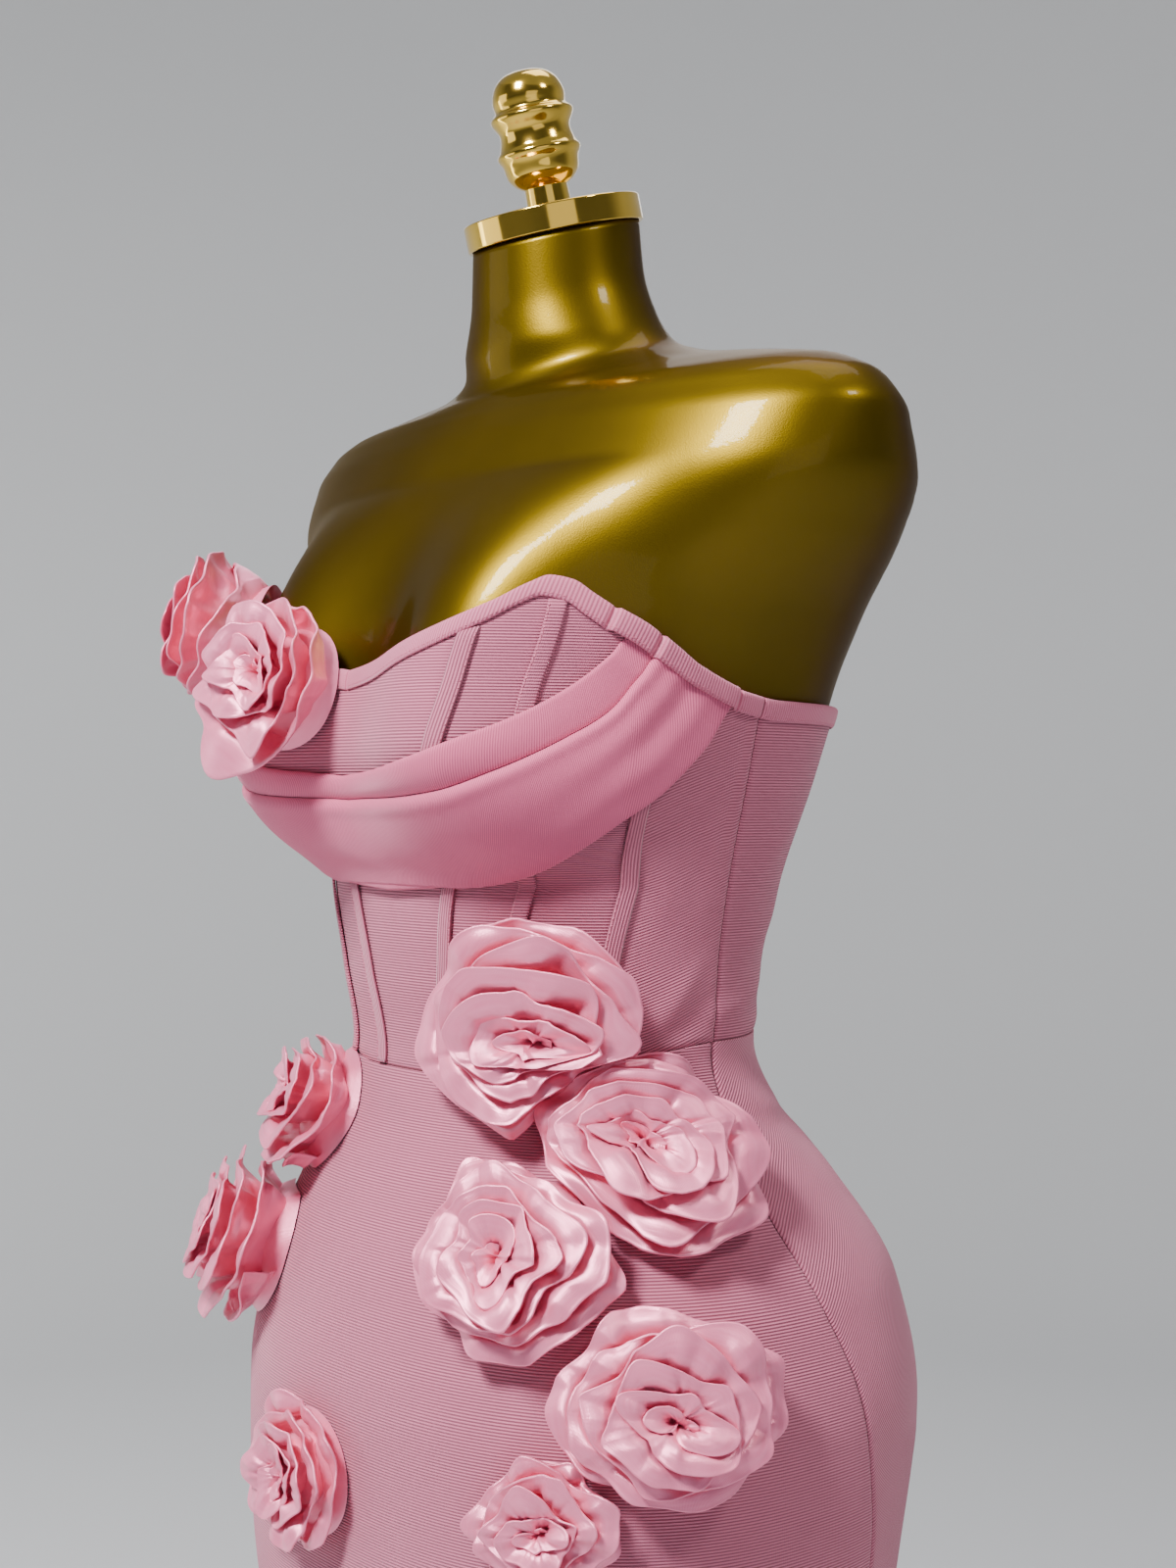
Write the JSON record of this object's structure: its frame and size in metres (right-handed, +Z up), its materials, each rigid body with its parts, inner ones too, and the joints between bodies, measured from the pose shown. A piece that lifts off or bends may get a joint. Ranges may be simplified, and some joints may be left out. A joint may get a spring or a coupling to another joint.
{
  "type": "bodycon dress on a limbless dress form",
  "caption": "Strapless knit bodycon dress with ribbon roses and a draped bust swag, worn by a gold limbless dress form on a pole stand.",
  "frame": {"origin": "centre of the base plate's underside, on the floor under the pole", "axes": "+Z up along the pole and the figure, -Y towards the front of the dress, +X towards the wearer's left"},
  "size_m": [0.418, 0.356, 1.5566],
  "materials": {
    "knit": "horizontal rib bandage knit, dusty pink",
    "satin": "folded satin ribbon, light pink",
    "zip_tape": "coil zip, pink",
    "zip_metal": "gold plated",
    "form_paint": "glossy olive gold metallic lacquer",
    "gold_plate": "polished yellow gold plating"
  },
  "bodies": {
    "dress_and_form": {"bodice_front_centre": "knit", "bodice_cup_left": "knit", "bodice_cup_right": "knit", "bodice_front_side_left": "knit", "bodice_front_side_right": "knit", "bodice_side_left": "knit", "bodice_side_right": "knit", "bodice_back_left": "knit", "bodice_back_right": "knit", "skirt_front": "knit", "skirt_back_left": "knit", "skirt_back_right": "knit", "binding_front_left": "knit", "binding_front_right": "knit", "binding_back_left": "knit", "binding_back_right": "knit", "casing_inner_left": "knit", "casing_inner_right": "knit", "casing_cup_left": "knit", "casing_cup_right": "knit", "casing_underarm_left": "knit", "casing_underarm_right": "knit", "swag_fold": "knit", "swag_band": "knit", "rose_waist": "satin", "rose_side": "satin", "rose_belly": "satin", "rose_hip": "satin", "rose_thigh_right": "satin", "rose_thigh_left": "satin", "rose_hip_right": "satin", "rose_waist_right": "satin", "rose_bust_inner": "satin", "rose_bust_outer": "satin", "zip_chain": "zip_tape", "zip_slider": "zip_metal", "form_torso": "form_paint", "neck_cap": "gold_plate", "finial": "gold_plate", "pole_socket": "gold_plate", "pole": "gold_plate", "base_plate": "gold_plate"},
    "pull_tab": {"zip_pull": "zip_metal"}
  },
  "joints": [
    {"name": "pull_tab_hinge", "type": "hinge", "parent": "dress_and_form", "child": "pull_tab", "pos_m": [0, 0.12835, 1.21615], "axis": [1, 0, 0], "range_deg": [-6, 150]}
  ]
}
